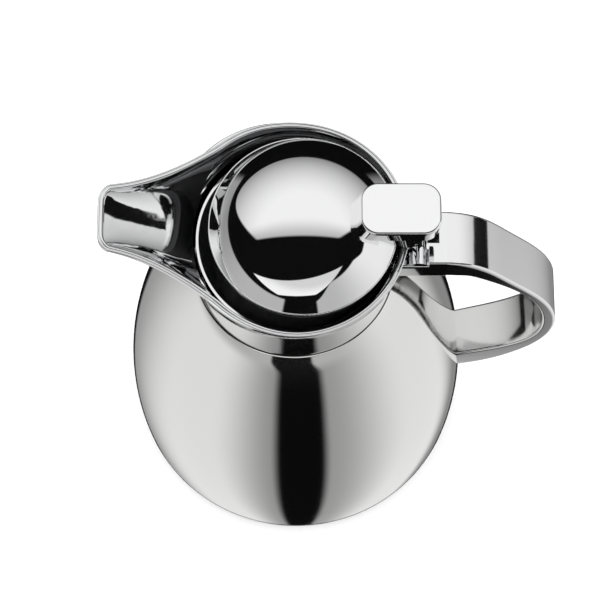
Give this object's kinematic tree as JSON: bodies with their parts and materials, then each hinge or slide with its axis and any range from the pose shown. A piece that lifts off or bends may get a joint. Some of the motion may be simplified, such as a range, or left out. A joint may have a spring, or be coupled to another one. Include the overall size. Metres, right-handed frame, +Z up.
{
  "type": "insulated coffee pot",
  "caption": "Polished steel insulated coffee pot with a wide open spout, a ribbon handle and a domed lid that a thumb plate tips open.",
  "frame": {"origin": "centre of the face the pot stands on, on the axis of its round body", "axes": "+Z up along the body's axis, +X towards the handle, -X towards the spout; the pot is symmetric about the XZ plane"},
  "size_m": [0.1885, 0.15, 0.219],
  "materials": {
    "jacket_steel": "polished stainless steel",
    "polished_steel": "bright polished steel trim",
    "chrome_casting": "chromed casting, mirror bright",
    "dome_mirror": "mirror-polished dome",
    "thumb_chrome": "mirror-polished thumb plate",
    "handle_steel": "polished steel ribbon",
    "pin_steel": "ground steel",
    "zinc_screw": "plated screw steel",
    "black_plastic": "fine-textured moulding",
    "black_rubber": "matt rubber",
    "grey_silicone": "soft silicone",
    "silvered_glass": "silvered glass",
    "felt_pad": "pressed fibre pad",
    "foam": "closed-cell foam"
  },
  "bodies": {
    "pot": {"body_jacket": "jacket_steel", "base_ring": "polished_steel", "base_plate": "black_plastic", "foot_pad": "black_rubber", "base_screws": "zinc_screw", "liner_outer_wall": "silvered_glass", "liner_inner_wall": "silvered_glass", "liner_tip": "silvered_glass", "liner_spacers": "felt_pad", "liner_cushion": "black_rubber", "neck_seal": "grey_silicone", "neck_nut": "black_plastic", "spout_collar": "chrome_casting", "pour_insert": "polished_steel", "hinge_bracket": "chrome_casting", "bracket_screws": "zinc_screw", "hinge_pin": "pin_steel", "lid_spring": "pin_steel", "handle": "handle_steel", "handle_root_screw": "zinc_screw", "handle_foot_backing": "zinc_screw", "handle_foot_screws": "zinc_screw"},
    "lid": {"lid_dome": "dome_mirror", "lid_rim": "polished_steel", "lid_base": "black_plastic", "lid_foam": "foam", "lid_plug": "black_plastic", "lid_gasket": "grey_silicone", "lid_arm": "chrome_casting", "thumb_plate": "thumb_chrome", "dome_screws": "zinc_screw", "arm_screws": "zinc_screw"}
  },
  "joints": [
    {"name": "lid_hinge", "type": "hinge", "parent": "pot", "child": "lid", "pos_m": [0.0496, 0, 0.183], "axis": [0, 1, 0], "range_deg": [0, 55], "stiffness_Nm_per_rad": 0.03, "springref_deg": -28.65}
  ]
}
